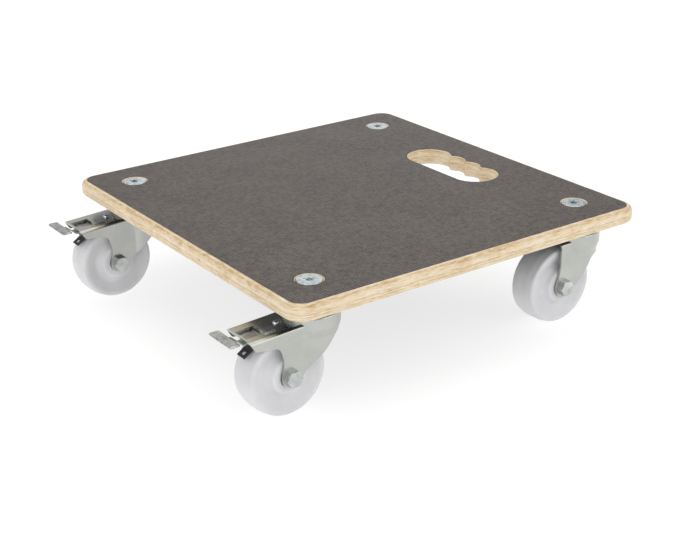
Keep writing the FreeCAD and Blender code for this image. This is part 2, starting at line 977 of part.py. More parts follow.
def roller_cage(caster):
    """Black plastic cage of the roller bearing, with a cap at each end of the hub."""
    inside = S.tube_radius + 0.2
    outside = S.bearing_radius - 0.1
    cap_foot = S.hub_half + 0.1
    half = [
        (inside, S.cage_cap_face),
        (S.cage_cap_radius, S.cage_cap_face, 0.4),
        (S.cage_cap_radius, cap_foot),
        (outside, cap_foot),
    ]
    mirrored = [(corner[0], -corner[1], *corner[2:]) for corner in reversed(half)]
    body = turned_body(f"roller_cage_{caster.name}", caster.at_axle(), "XY_Plane", half + mirrored)
    slot = plane_sketch(body, "XY_Plane", S.tube_radius - 2)
    clear = S.roller_radius + 0.2
    long = S.roller_length / 2 + 0.3
    rectangle(slot, -clear, clear, -long, long)
    cut = pocket(body, slot, S.bearing_radius, Reversed=True)
    polar_copies(body, [cut], "Y_Axis", 8)
    return body


def rollers(caster):
    """Steel rollers between the axle tube and the hub."""
    body = new_body(f"rollers_{caster.name}", caster.at_axle())
    end = plane_sketch(body, "XZ_Plane")
    circle(end, 0, S.roller_pitch, S.roller_radius)
    roller = pad(body, end, S.roller_length, SideType="Symmetric")
    polar_copies(body, [roller], "Y_Axis", 8)
    return body


# ---------------------------------------------------------------------------------------------
# Brake: pedal lever on a pin across the nose, with a spring-steel leaf that meets the tread
# ---------------------------------------------------------------------------------------------


def side_pad(body, corners, width):
    """Pad a side view to both sides of the middle plane."""
    view = plane_sketch(body, "XZ_Plane")
    outline(view, corners)
    return pad(body, view, width, SideType="Symmetric")


def brake_lever(caster):
    """Pressed lever: eye round the pin, arm that narrows under the nose, wide tread outside it."""
    body = new_body(f"brake_lever_{caster.name}", caster.on_axis())
    sheet = S.lever_sheet
    tread_foot = S.pedal_height - sheet
    ridge_x = -86.5
    ridge_z = 101.9
    dip_x = -93.5
    dip_z = 99.8
    bend_x = -102
    arm = [
        (S.pin_x, S.pin_z + S.eye_radius - 0.4),
        (ridge_x, ridge_z, 3.5),
        (dip_x, dip_z, 2),
        (bend_x, S.pedal_height, 3.5),
        (bend_x - 3, S.pedal_height),
        (bend_x - 3, tread_foot),
        (bend_x + 1, tread_foot, 1.5),
        (dip_x + 0.4, dip_z - sheet - 0.6, 4.5),
        (ridge_x + 0.6, ridge_z - sheet, 1.5),
        (S.pin_x, S.pin_z - 0.4),
    ]
    side_pad(body, arm, S.lever_width)
    tread = plane_sketch(body, "XY_Plane", tread_foot)
    half = S.pedal_width / 2
    rectangle(tread, -S.pedal_reach, bend_x - 1, -half, half, 2.5)
    pad(body, tread, sheet)
    eye = plane_sketch(body, "XZ_Plane")
    circle(eye, S.pin_x, S.pin_z, S.eye_radius)
    pad(body, eye, S.lever_width, SideType="Symmetric")
    relief = plane_sketch(body, "XY_Plane", S.pedal_height + 3)
    stem_side = 0.5
    far = S.lever_width / 2 + 2
    outline(relief, [(bend_x - 1, stem_side), (-90, stem_side, 1), (-74, far), (bend_x - 1, far)])
    pocket(body, relief, 20)
    hole = plane_sketch(body, "XZ_Plane")
    circle(hole, S.pin_x, S.pin_z, S.pin_radius + 0.06)
    pocket(body, hole)
    return body


def brake_leaf(caster):
    """Black spring-steel strip under the lever, bent to a knee just off the tread."""
    body = new_body(f"brake_leaf_{caster.name}", caster.on_axis())
    strip = [
        (-73.5, 98.6),
        (-86.1, 99.1, 2.6),
        (-81.0, 87.3, 1),
        (-91.1, 80.6),
        (-90.3, 79.3),
        (-79.2, 86.7, 2.4),
        (-84.0, 97.5, 1.1),
        (-73.5, 97.1),
    ]
    side_pad(body, strip, S.leaf_width)
    slot = plane_sketch(body, "XY_Plane", 70)
    rectangle(slot, -88.2, -84.2, -3, 3, 0.8)
    pocket(body, slot, 20, Reversed=True)
    return body


def brake_pin(caster):
    """Pin across the nose, flush with the cheeks, on which the lever turns."""
    body = new_body(f"brake_pin_{caster.name}", caster.on_axis())
    end = plane_sketch(body, "XZ_Plane")
    circle(end, S.pin_x, S.pin_z, S.pin_radius)
    pad(body, end, S.fork_width, SideType="Symmetric")
    return body


def on_nose(caster):
    """Place on the sloping top of the nose, over the rivet, tilted with the sheet."""
    run = S.nose_reach.number - 30
    slope = math.degrees(math.atan2(S.nose_drop.number, run))
    height = S.crown_height.number - (-S.rivet_x.number - 30) * S.nose_drop.number / run
    spot = Vector(caster.x.number + S.rivet_x.number, caster.y.number, height)
    return Placement(spot, Rotation(Vector(0, 1, 0), -slope))


def brake_spring(caster):
    """Bright clip under the nose, folded up through the window and back over its edge."""
    body = new_body(f"brake_spring_{caster.name}", on_nose(caster))
    under = -S.sheet - LOW_FIT
    fold_x = -22.9
    near_y = -11.5
    far_y = -3.5
    run = plane_sketch(body, "XY_Plane", under)
    corners = [
        (5, 5, 4),
        (-5, 5, 4),
        (-13, far_y, 3),
        (fold_x, far_y),
        (fold_x, near_y),
        (-9, near_y, 4),
        (5, -5, 4),
    ]
    outline(run, corners)
    pad(body, run, S.spring_sheet, Reversed=True)
    riser = plane_sketch(body, "XY_Plane", under - S.spring_sheet)
    rectangle(riser, fold_x, fold_x + S.spring_sheet, near_y, far_y)
    pad(body, riser, S.sheet + (S.spring_sheet + LOW_FIT) * 2)
    tab = plane_sketch(body, "XY_Plane", LOW_FIT)
    rectangle(tab, fold_x, -9, near_y - 3, far_y, 0.4)
    pad(body, tab, S.spring_sheet)
    hole = plane_sketch(body, "XY_Plane")
    circle(hole, 0, 0, 1.6)
    pocket(body, hole)
    return body


def nose_rivet(caster):
    """Domed rivet that holds the clip under the nose."""
    top = LOW_FIT
    tail = -S.sheet - S.spring_sheet - LOW_FIT * 2
    return turned_body(
        f"nose_rivet_{caster.name}",
        on_nose(caster),
        "XZ_Plane",
        [
            (0, tail - 1.2),
            (2.6, tail - 1.2, 0.8),
            (2.6, tail),
            (1.5, tail),
            (1.5, top),
            (3.5, top),
            (3.5, top + 2.2, 1.9),
            (0, top + 2.2),
        ],
    )


# ---------------------------------------------------------------------------------------------
# Assembly
# ---------------------------------------------------------------------------------------------

nodes = [
    platform_core(),
    film("top_film", S.deck_height - S.film_thickness, S.head_seat_radius + S.head_seat_chamfer + 0.3),
    film("bottom_film", DECK_BOTTOM, S.bolt_hole_radius),
    gather("fixing_bolts", [fixing_bolt(caster) for caster in CASTERS]),
    gather("fixing_washers", [fixing_washer(caster) for caster in CASTERS]),
    gather("fixing_nuts", [fixing_nut(caster) for caster in CASTERS]),
    gather("king_rivets", [king_rivet(caster) for caster in CASTERS]),
]
nodes += [braked_fork(caster) for caster in BRAKED]
nodes += [free_fork(caster) for caster in FREE]
every_caster = [
    head_plate,
    lower_race,
    swivel_balls,
    axle_bolt,
    axle_nut,
    axle_tube,
    wheel,
    roller_cage,
    rollers,
]
braked_only = [brake_lever, brake_leaf, brake_pin, brake_spring, nose_rivet]
nodes += [make(caster) for make in every_caster for caster in CASTERS]
nodes += [make(caster) for make in braked_only for caster in BRAKED]

doc.recompute()
failed = [item.Name for item in doc.Objects if "Invalid" in item.State or "Error" in item.State]
if failed:
    raise RuntimeError(f"these objects failed to recompute: {failed}")
for node in nodes:
    if node.Shape.isNull() or not node.Shape.isValid() or not node.Shape.Solids:
        raise RuntimeError(f"{node.Label} has no sound solid")

os.makedirs("parts", exist_ok=True)
for node in nodes:
    node.Shape.exportStep(f"parts/{node.Label}.step")
    box = node.Shape.BoundBox
    print(f"{node.Label}: {len(node.Shape.Solids)} solids, {node.Shape.Volume / 1000:.2f} cm3,", box)
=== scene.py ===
import math

import bmesh
import bpy
from mathutils import Matrix, Vector


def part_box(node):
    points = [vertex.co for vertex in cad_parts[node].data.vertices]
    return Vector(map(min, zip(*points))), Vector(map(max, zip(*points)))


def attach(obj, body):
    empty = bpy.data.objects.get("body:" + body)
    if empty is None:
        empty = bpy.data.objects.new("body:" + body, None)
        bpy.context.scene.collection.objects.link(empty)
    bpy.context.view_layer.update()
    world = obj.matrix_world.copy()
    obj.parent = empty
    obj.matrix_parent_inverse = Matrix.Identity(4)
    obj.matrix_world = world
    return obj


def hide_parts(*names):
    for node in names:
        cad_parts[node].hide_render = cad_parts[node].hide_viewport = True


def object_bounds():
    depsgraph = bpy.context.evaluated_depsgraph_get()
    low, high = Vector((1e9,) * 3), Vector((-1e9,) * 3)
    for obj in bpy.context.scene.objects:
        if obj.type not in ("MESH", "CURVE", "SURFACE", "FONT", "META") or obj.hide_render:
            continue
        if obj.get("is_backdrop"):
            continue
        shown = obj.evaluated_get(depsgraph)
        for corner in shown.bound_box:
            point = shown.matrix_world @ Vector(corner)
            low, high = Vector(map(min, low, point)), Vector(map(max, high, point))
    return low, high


# Furniture dolly: a film-faced plywood deck with a hand hole, on four swivel casters with
# polyamide wheels, the two at the -X end with a foot brake. Metres, +Z up, floor at z = 0.

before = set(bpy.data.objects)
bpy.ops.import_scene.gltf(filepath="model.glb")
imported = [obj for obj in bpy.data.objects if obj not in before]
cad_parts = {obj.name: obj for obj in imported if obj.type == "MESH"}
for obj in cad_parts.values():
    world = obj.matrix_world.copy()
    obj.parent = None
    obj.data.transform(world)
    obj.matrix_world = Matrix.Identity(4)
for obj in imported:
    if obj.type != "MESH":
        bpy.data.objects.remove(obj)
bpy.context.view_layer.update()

# Camera: a long lens off the front corner, looking down on the deck. Yaw turns from +X, pitch
# is how far it looks down, roll how far it leans.
CAMERA_PLACE = (-0.9334, -1.3441, 0.7418)
CAMERA_YAW = math.radians(54.795)
CAMERA_PITCH = math.radians(22.927)
CAMERA_ROLL = math.radians(-0.757)
camera_data = bpy.data.cameras.new("camera")
camera_data.sensor_fit = "HORIZONTAL"
camera_data.sensor_width = 36
camera_data.lens = 73.1
camera_data.clip_start = 0.05
camera_data.clip_end = 100
camera = bpy.data.objects.new("camera", camera_data)
bpy.context.scene.collection.objects.link(camera)
bpy.context.scene.camera = camera
ahead = Vector(
    (
        math.cos(CAMERA_YAW) * math.cos(CAMERA_PITCH),
        math.sin(CAMERA_YAW) * math.cos(CAMERA_PITCH),
        -math.sin(CAMERA_PITCH),
    )
)
level_right = Vector((math.sin(CAMERA_YAW), -math.cos(CAMERA_YAW), 0))
right = Matrix.Rotation(-CAMERA_ROLL, 3, ahead) @ level_right
turn = Matrix((right, right.cross(ahead), -ahead)).transposed()
camera.matrix_world = Matrix.Translation(CAMERA_PLACE) @ turn.to_4x4()

# Studio: a pale seamless floor of back-lit acrylic, which keeps the shadow under the deck light,
# an even white surround, and large soft boxes right, left and overhead. A faint one behind gives
# the middle of the deck its dull shine.
FLOOR_HALF_SIZE = 40
SURROUND_STRENGTH = 0.68


def linear(hex_colour):
    """sRGB hex colour as the linear colour that shaders and lights take."""
    channels = [int(hex_colour[i : i + 2], 16) / 255 for i in (1, 3, 5)]
    return [c / 12.92 if c <= 0.04045 else ((c + 0.055) / 1.055) ** 2.4 for c in channels] + [1.0]


def finish(name, **sockets):
    """Material, node tree and shader of a finish, with the constant sockets set."""
    material = bpy.data.materials.new(name)
    material.use_nodes = True
    tree = material.node_tree
    shader = tree.nodes["Principled BSDF"]
    for socket, value in sockets.items():
        shader.inputs[socket.replace("_", " ")].default_value = value
    return material, tree, shader


def soft_box(name, place, aim, size, watts):
    """Square area light at a place, turned to its aim."""
    data = bpy.data.lights.new(name, "AREA")
    data.size = size
    data.energy = watts
    lamp = bpy.data.objects.new(name, data)
    bpy.context.scene.collection.objects.link(lamp)
    lamp.location = place
    lamp.rotation_euler = (Vector(aim) - Vector(place)).to_track_quat("-Z", "Y").to_euler()


floor_mesh = bmesh.new()
bmesh.ops.create_grid(floor_mesh, x_segments=1, y_segments=1, size=FLOOR_HALF_SIZE)
floor_data = bpy.data.meshes.new("studio_floor")
floor_mesh.to_mesh(floor_data)
floor_mesh.free()
floor = bpy.data.objects.new("studio_floor", floor_data)
bpy.context.scene.collection.objects.link(floor)
floor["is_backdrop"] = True
acrylic = finish(
    "back_lit_acrylic",
    Base_Color=linear("#A6A6A6"),
    Roughness=0.9,
    Specular_IOR_Level=0.0,
    Emission_Color=linear("#FFFFFF"),
    Emission_Strength=0.72,
)[0]
floor_data.materials.append(acrylic)

world = bpy.data.worlds.new("studio")
bpy.context.scene.world = world
world.use_nodes = True
surround = world.node_tree.nodes["Background"]
surround.inputs["Color"].default_value = linear("#FFFFFF")
surround.inputs["Strength"].default_value = SURROUND_STRENGTH
soft_box("soft_box_right", (1.8, -2.8, 1.7), (0, 0, 0.1), size=3.2, watts=31)
soft_box("soft_box_left", (-3.0, -1.2, 1.3), (0, 0, 0.1), size=2.8, watts=28)
soft_box("soft_box_top", (0.2, 0.4, 3.0), (0, 0, 0), size=3.4, watts=30)
soft_box("soft_box_back", (1.6, 2.3, 1.3), (0.05, 0, 0.14), size=1.5, watts=2.4)
bpy.context.scene.view_settings.view_transform = "Standard"

# Deck core: birch plywood, cross-bonded plies about 1.5 mm thick, cut by a router, with all
# outer edges rounded over and the hand hole through it. Every edge shows the bare, oiled plies:
# cream plies that differ a little, fine grain, thin brown glue lines and a few darker flecks.
MM = 0.001
PLY = 1.5 * MM
PLY_WANDER = 2.2 * MM
GLUE_LINE = 0.11  # of a ply, on each side of the joint
GRAIN_PER_METRE = (90, 90, 800)
FLECKS_PER_METRE = (90, 90, 620)
PATCH = 22 * MM
MERGE = 0.002 * MM
FLAT_WITHIN = math.radians(0.4)


def add(tree, kind, links=None, **settings):
    """One node with its settings; links maps a socket to a value or to the socket that feeds it."""
    node = tree.nodes.new(kind)
    for name, value in settings.items():
        setattr(node, name, value)
    for socket, source in (links or {}).items():
        if isinstance(source, bpy.types.NodeSocket):
            tree.links.new(source, node.inputs[socket])
        else:
            node.inputs[socket].default_value = source
    return node


def sharpen(mesh, smooth_angle):
    """Smooth shading everywhere but across edges that turn by more than the angle."""
    for face in mesh.faces:
        face.smooth = True
    for edge in mesh.edges:
        edge.smooth = edge.calc_face_angle(math.pi) < math.radians(smooth_angle)


def cleaned(node, smooth_angle=30):
    """Copy of a CAD node's mesh: merged, its flats made whole, its sharp edges kept sharp."""
    mesh = bmesh.new()
    mesh.from_mesh(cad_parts[node].data)
    bmesh.ops.remove_doubles(mesh, verts=mesh.verts, dist=MERGE)
    bmesh.ops.dissolve_limit(mesh, angle_limit=FLAT_WITHIN, verts=mesh.verts, edges=mesh.edges)
    sharpen(mesh, smooth_angle)
    return mesh


def placed(name, mesh, material, body, slot, *replaced):
    """Turn a bmesh into a finished piece that rides on a body and stands for CAD nodes."""
    data = bpy.data.meshes.new(name)
    mesh.to_mesh(data)
    mesh.free()
    data.materials.append(material)
    piece = bpy.data.objects.new(name, data)
    bpy.context.scene.collection.objects.link(piece)
    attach(piece, body)
    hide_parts(*replaced)
    return piece


def even_shading(piece):
    """Let large flats keep their own normals next to rounded edges."""
    weighted = piece.modifiers.new("even_shading", "WEIGHTED_NORMAL")
    weighted.keep_sharp = True


plywood, tree, shader = finish("birch_plywood_edge", Roughness=0.6, Specular_IOR_Level=0.3)
place = add(tree, "ShaderNodeTexCoord").outputs["Object"]
xyz = add(tree, "ShaderNodeSeparateXYZ", {0: place})
wander = add(tree, "ShaderNodeTexNoise", {"Vector": place, "Scale": 14.0, "Detail": 2.0})
lift = add(
    tree, "ShaderNodeMath", {0: wander.outputs["Fac"], 1: PLY_WANDER}, operation="MULTIPLY"
)
height = add(tree, "ShaderNodeMath", {0: xyz.outputs["Z"], 1: lift.outputs[0]}, operation="ADD")
layers = add(tree, "ShaderNodeMath", {0: height.outputs[0], 1: 1 / PLY}, operation="MULTIPLY")
layer = add(tree, "ShaderNodeMath", {0: layers.outputs[0]}, operation="FLOOR")
ply_tone = add(tree, "ShaderNodeTexWhiteNoise", {"W": layer.outputs[0]}, noise_dimensions="1D")
within = add(tree, "ShaderNodeMath", {0: layers.outputs[0], 1: 0.5}, operation="PINGPONG")
glue = add(
    tree, "ShaderNodeMapRange", {0: within.outputs[0], 1: 0.0, 2: GLUE_LINE, 3: 0.34, 4: 0.0}
)
grain_place = add(tree, "ShaderNodeMapping", {"Vector": place, "Scale": GRAIN_PER_METRE})
grain = add(
    tree,
    "ShaderNodeTexNoise",
    {"Vector": grain_place.outputs[0], "Scale": 1.0, "Detail": 4.0, "Roughness": 0.65},
)
patches = add(tree, "ShaderNodeTexNoise", {"Vector": place, "Scale": 1 / PATCH, "Detail": 3.0})
ply_share = add(
    tree, "ShaderNodeMath", {0: ply_tone.outputs["Value"], 1: 0.3}, operation="MULTIPLY"
)
grain_share = add(
    tree,
    "ShaderNodeMath",
    {0: grain.outputs["Fac"], 1: 0.95, 2: ply_share.outputs[0]},
    operation="MULTIPLY_ADD",
)
tone = add(
    tree,
    "ShaderNodeMath",
    {0: patches.outputs["Fac"], 1: 0.42, 2: grain_share.outputs[0]},
    operation="MULTIPLY_ADD",
)
wood_tone = add(tree, "ShaderNodeValToRGB", {"Fac": tone.outputs[0]})
ramp = wood_tone.color_ramp
ramp.elements[0].position = 0.55
ramp.elements[0].color = linear("#B89A72")
ramp.elements[1].position = 1.0
ramp.elements[1].color = linear("#E8DBC4")
ramp.elements.new(0.75).color = linear("#D6C09C")
glued = add(
    tree,
    "ShaderNodeMix",
    {0: glue.outputs[0], 6: wood_tone.outputs["Color"], 7: linear("#A9794A")},
    data_type="RGBA",
)
fleck_place = add(tree, "ShaderNodeMapping", {"Vector": place, "Scale": FLECKS_PER_METRE})
flecks = add(
    tree, "ShaderNodeTexNoise", {"Vector": fleck_place.outputs[0], "Scale": 1.0, "Detail": 2.0}
)
fleck_amount = add(
    tree, "ShaderNodeMapRange", {0: flecks.outputs["Fac"], 1: 0.63, 2: 0.8, 4: 0.7}
)
flecked = add(
    tree,
    "ShaderNodeMix",
    {0: fleck_amount.outputs[0], 6: glued.outputs[2], 7: linear("#93683C")},
    data_type="RGBA",
)
tree.links.new(flecked.outputs[2], shader.inputs["Base Color"])
grain_bump = add(
    tree,
    "ShaderNodeBump",
    {"Height": grain.outputs["Fac"], "Distance": 0.2 * MM, "Strength": 0.6},
)
tree.links.new(grain_bump.outputs[0], shader.inputs["Normal"])
even_shading(
    placed(
        "deck_core", cleaned("platform_core"), plywood, "deck", "birch_plywood", "platform_core"
    )
)

# Deck faces: phenolic film, dark brown, hot-pressed onto the board. A woven wire mesh leaves a
# fine anti-slip grid on the top face. Its real 2 mm pitch is drawn at 3.6 mm so that it shows.
# The underside keeps the smooth film of the press plate, nearly black. That is partly its own dark
# film and partly painted shade, so it stays as dark as a shaded underside above the glowing floor.
MESH_PITCH = 3.6 * MM
SPECK = 5 * MM
WAVE_PERIOD = math.pi / 10  # from band to band of a wave texture at scale 1, in metres
mesh_film, tree, shader = finish(
    "phenolic_wire_mesh_film", Roughness=0.45, Specular_IOR_Level=0.28
)
place = add(tree, "ShaderNodeTexCoord").outputs["Object"]
wires = [
    add(
        tree,
        "ShaderNodeTexWave",
        {
            "Vector": place,
            "Scale": WAVE_PERIOD / MESH_PITCH,
            "Distortion": 0.5,
            "Detail Scale": 40.0,
        },
        bands_direction=direction,
    )
    for direction in ("X", "Y")
]
weave = add(
    tree,
    "ShaderNodeMath",
    {0: wires[0].outputs["Fac"], 1: wires[1].outputs["Fac"]},
    operation="MULTIPLY",
)
specks = add(
    tree,
    "ShaderNodeTexNoise",
    {"Vector": place, "Scale": 1 / SPECK, "Detail": 3.0, "Roughness": 0.8},
)
scuffs = add(tree, "ShaderNodeTexNoise", {"Vector": place, "Scale": 12.0, "Detail": 4.0})
weave_share = add(
    tree,
    "ShaderNodeMath",
    {0: weave.outputs[0], 1: 0.42, 2: specks.outputs["Fac"]},
    operation="MULTIPLY_ADD",
)
relief = add(
    tree,
    "ShaderNodeMath",
    {0: scuffs.outputs["Fac"], 1: 0.2, 2: weave_share.outputs[0]},
    operation="MULTIPLY_ADD",
)
film_tone = add(tree, "ShaderNodeValToRGB", {"Fac": relief.outputs[0]})
ramp = film_tone.color_ramp
ramp.elements[0].position = 0.45
ramp.elements[0].color = linear("#26201D")
ramp.elements[1].position = 1.0
ramp.elements[1].color = linear("#6D645D")
tree.links.new(film_tone.outputs["Color"], shader.inputs["Base Color"])
film_bump = add(
    tree, "ShaderNodeBump", {"Height": relief.outputs[0], "Distance": 0.15 * MM, "Strength": 0.7}
)
tree.links.new(film_bump.outputs[0], shader.inputs["Normal"])

underside_film_painted_shade, tree, shader = finish("phenolic_underside_painted_shade")
place = add(tree, "ShaderNodeTexCoord").outputs["Object"]
clouds = add(tree, "ShaderNodeTexNoise", {"Vector": place, "Scale": 18.0, "Detail": 4.0})
# Painted shade: the underside is coloured near black so that it stays dark though the floor lights
# it from below.
underside_painted_shade_tone = add(tree, "ShaderNodeValToRGB", {"Fac": clouds.outputs["Fac"]})
underside_painted_shade_tone.color_ramp.elements[0].color = linear("#1D1917")
underside_painted_shade_tone.color_ramp.elements[1].color = linear("#2C2623")
tree.links.new(underside_painted_shade_tone.outputs["Color"], shader.inputs["Base Color"])
under_gloss = add(tree, "ShaderNodeMapRange", {0: clouds.outputs["Fac"], 3: 0.25, 4: 0.45})
tree.links.new(under_gloss.outputs[0], shader.inputs["Roughness"])
for node, film in (("top_film", mesh_film), ("bottom_film", underside_film_painted_shade)):
    even_shading(placed(node + "_sheet", cleaned(node), film, "deck", "wire_mesh_film", node))

# Fixing bolts: turned steel, zinc-plated with a blue-white passivation. The flat heads are let
# into the deck and keep fine turned rings around their sockets. The four stand in a rectangle,
# so one ring pattern folded about its centre serves them all.
HEAD_RADIUS = 15 * MM
RING_PITCH = 2.4 * MM
turned_zinc, tree, shader = finish("bright_zinc_turned_head", Metallic=1.0)
place = add(tree, "ShaderNodeTexCoord").outputs["Object"]
low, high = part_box("fixing_bolts")
to_axis = (high - low) / 2 - Vector((HEAD_RADIUS, HEAD_RADIUS, 0))
centred = add(tree, "ShaderNodeVectorMath", {0: place, 1: (low + high) / 2}, operation="SUBTRACT")
folded = add(tree, "ShaderNodeVectorMath", {0: centred.outputs[0]}, operation="ABSOLUTE")
from_axis = add(
    tree, "ShaderNodeVectorMath", {0: folded.outputs[0], 1: to_axis}, operation="SUBTRACT"
)
lathe = add(
    tree,
    "ShaderNodeTexWave",
    {"Vector": from_axis.outputs[0], "Scale": WAVE_PERIOD / RING_PITCH, "Distortion": 0.2},
    wave_type="RINGS",
    rings_direction="Z",
)
cloud = add(tree, "ShaderNodeTexNoise", {"Vector": place, "Scale": 1 / (4 * MM), "Detail": 4.0})
zinc_tone = add(tree, "ShaderNodeValToRGB", {"Fac": cloud.outputs["Fac"]})
ramp = zinc_tone.color_ramp
ramp.elements[0].position = 0.3
ramp.elements[0].color = linear("#9FA9AD")
ramp.elements[1].position = 0.7
ramp.elements[1].color = linear("#D6DDDF")
tree.links.new(zinc_tone.outputs["Color"], shader.inputs["Base Color"])
gloss = add(tree, "ShaderNodeMapRange", {0: cloud.outputs["Fac"], 3: 0.14, 4: 0.34})
tree.links.new(gloss.outputs[0], shader.inputs["Roughness"])
lathe_bump = add(
    tree,
    "ShaderNodeBump",
    {"Height": lathe.outputs["Fac"], "Distance": 0.08 * MM, "Strength": 0.6},
)
tree.links.new(lathe_bump.outputs[0], shader.inputs["Normal"])
placed(
    "fixing_bolts_plated", cleaned("fixing_bolts"), turned_zinc, "deck", "zinc_fixing",
    "fixing_bolts",
)

# Washers, nuts and king rivets: the same plating over a stamped or cold-headed skin, which is a
# little duller and cloudier.
bright_zinc, tree, shader = finish("bright_zinc_fasteners", Metallic=1.0)
place = add(tree, "ShaderNodeTexCoord").outputs["Object"]
cloud = add(tree, "ShaderNodeTexNoise", {"Vector": place, "Scale": 1 / (7 * MM), "Detail": 4.0})
zinc_tone = add(tree, "ShaderNodeValToRGB", {"Fac": cloud.outputs["Fac"]})
ramp = zinc_tone.color_ramp
ramp.elements[0].position = 0.3
ramp.elements[0].color = linear("#ABAEAB")
ramp.elements[1].position = 0.7
ramp.elements[1].color = linear("#D0D4D3")
tree.links.new(zinc_tone.outputs["Color"], shader.inputs["Base Color"])
gloss = add(tree, "ShaderNodeMapRange", {0: cloud.outputs["Fac"], 3: 0.32, 4: 0.48})
tree.links.new(gloss.outputs[0], shader.inputs["Roughness"])
for node in ("fixing_washers", "fixing_nuts", "king_rivets"):
    placed(node + "_plated", cleaned(node), bright_zinc, "deck", "zinc_fixing", node)

# Forks, head cups and lower races: steel sheet, deep-drawn and folded, then zinc-plated with a
# clear passivation. The rolled face stays mirror-like enough to reflect the deck above it, in a
# cool grey with faint drawing marks.
BRAKED = ["braked_left", "braked_right"]
CASTERS = BRAKED + ["free_left", "free_right"]
FORK_SMOOTH_ANGLE = 44
DRAWING_MARKS_PER_METRE = (900, 900, 90)
satin_zinc, tree, shader = finish("passivated_zinc_sheet", Metallic=1.0)
place = add(tree, "ShaderNodeTexCoord").outputs["Object"]
cloud = add(tree, "ShaderNodeTexNoise", {"Vector": place, "Scale": 1 / (30 * MM), "Detail": 3.0})
zinc_tone = add(tree, "ShaderNodeValToRGB", {"Fac": cloud.outputs["Fac"]})
ramp = zinc_tone.color_ramp
ramp.elements[0].position = 0.3
ramp.elements[0].color = linear("#B1B3AE")
ramp.elements[1].position = 0.7
ramp.elements[1].color = linear("#BCBDB8")
tree.links.new(zinc_tone.outputs["Color"], shader.inputs["Base Color"])
drawn_place = add(tree, "ShaderNodeMapping", {"Vector": place, "Scale": DRAWING_MARKS_PER_METRE})
drawn = add(
    tree, "ShaderNodeTexNoise", {"Vector": drawn_place.outputs[0], "Scale": 1.0, "Detail": 3.0}
)
gloss = add(tree, "ShaderNodeMapRange", {0: drawn.outputs["Fac"], 3: 0.17, 4: 0.33})
tree.links.new(gloss.outputs[0], shader.inputs["Roughness"])
drawn_bump = add(
    tree,
    "ShaderNodeBump",
    {"Height": drawn.outputs["Fac"], "Distance": 0.02 * MM, "Strength": 0.3},
)
tree.links.new(drawn_bump.outputs[0], shader.inputs["Normal"])
for name in CASTERS:
    fork = "fork_" + name
    even_shading(
        placed(
            fork + "_sheet", cleaned(fork, FORK_SMOOTH_ANGLE), satin_zinc, "swivel_" + name,
            "zinc_sheet", fork,
        )
    )
    for cup in ("head_plate_" + name, "lower_race_" + name):
        placed(cup + "_cup", cleaned(cup), satin_zinc, "deck", "zinc_sheet", cup)

# Axle bolts and nuts: M12 hexagon fasteners, cold-headed, chamfered and bright zinc-plated. They
# turn with the fork.
for name in CASTERS:
    for fastener in ("axle_bolt_" + name, "axle_nut_" + name):
        placed(
            fastener + "_plated", cleaned(fastener), bright_zinc, "swivel_" + name,
            "zinc_fixing", fastener,
        )

# Bearings: hardened steel balls in the swivel heads, with rollers and an axle tube in each hub.
# They are ground, polished and lightly oiled, so they are bright with a slight haze.
ground_steel, tree, shader = finish("ground_bearing_steel", Metallic=1.0)
place = add(tree, "ShaderNodeTexCoord").outputs["Object"]
haze = add(tree, "ShaderNodeTexNoise", {"Vector": place, "Scale": 1 / (3 * MM), "Detail": 2.0})
steel_tone = add(tree, "ShaderNodeValToRGB", {"Fac": haze.outputs["Fac"]})
steel_tone.color_ramp.elements[0].color = linear("#B9BBBD")
steel_tone.color_ramp.elements[1].color = linear("#D6D7D9")
tree.links.new(steel_tone.outputs["Color"], shader.inputs["Base Color"])
gloss = add(tree, "ShaderNodeMapRange", {0: haze.outputs["Fac"], 3: 0.1, 4: 0.25})
tree.links.new(gloss.outputs[0], shader.inputs["Roughness"])
for name in CASTERS:
    for part, body in (
        ("swivel_balls_", "swivel_"),
        ("axle_tube_", "swivel_"),
        ("rollers_", "wheel_"),
    ):
        placed(
            part + name + "_ground", cleaned(part + name), ground_steel, body + name,
            "bearing_steel", part + name,
        )

# Wheels: solid white polyamide, injection moulded, with a crowned tread and dished sides. The
# moulded skin is satin, a little cloudy, and lets light in under the surface.
WHEEL_PROFILE = [
    # in millimetres: radius, half width, length of the rounding along each side
    (11.7, 21, 0.8),
    (21, 21, 2.88),
    (24.5, 10.5, 8.07),
    (42.5, 18, 1.0),
    (47.8, 18, 2.41),
    (50, 8, 1.52),
]
ROUNDING_STEPS = 7
TURNING_STEPS = 96
SEAM = 0.001 * MM
WHEEL_SMOOTH_ANGLE = 40


def turned(corners, centre):
    """Closed section turned about an axle along Y: corners are radius, distance along, rounding."""
    mesh = bmesh.new()
    points = [mesh.verts.new((radius * MM, along * MM, 0)) for radius, along, rounding in corners]
    for start, end in zip(points, points[1:] + points[:1]):
        mesh.edges.new((start, end))
    for point, (radius, along, rounding) in zip(points, corners):
        bmesh.ops.bevel(
            mesh, geom=[point], offset=rounding * MM, offset_type="OFFSET",
            segments=ROUNDING_STEPS, profile=0.5, affect="VERTICES", material=-1,
        )
    bmesh.ops.spin(
        mesh, geom=mesh.verts[:] + mesh.edges[:], cent=(0, 0, 0), axis=(0, 1, 0), dvec=(0, 0, 0),
        angle=2 * math.pi, steps=TURNING_STEPS, use_merge=True, use_duplicate=False,
    )
    bmesh.ops.remove_doubles(mesh, verts=mesh.verts, dist=SEAM)
    bmesh.ops.recalc_face_normals(mesh, faces=mesh.faces)
    bmesh.ops.translate(mesh, verts=mesh.verts, vec=centre)
    return mesh


def middle(node):
    """Centre of a CAD node's box."""
    low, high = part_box(node)
    return (low + high) / 2


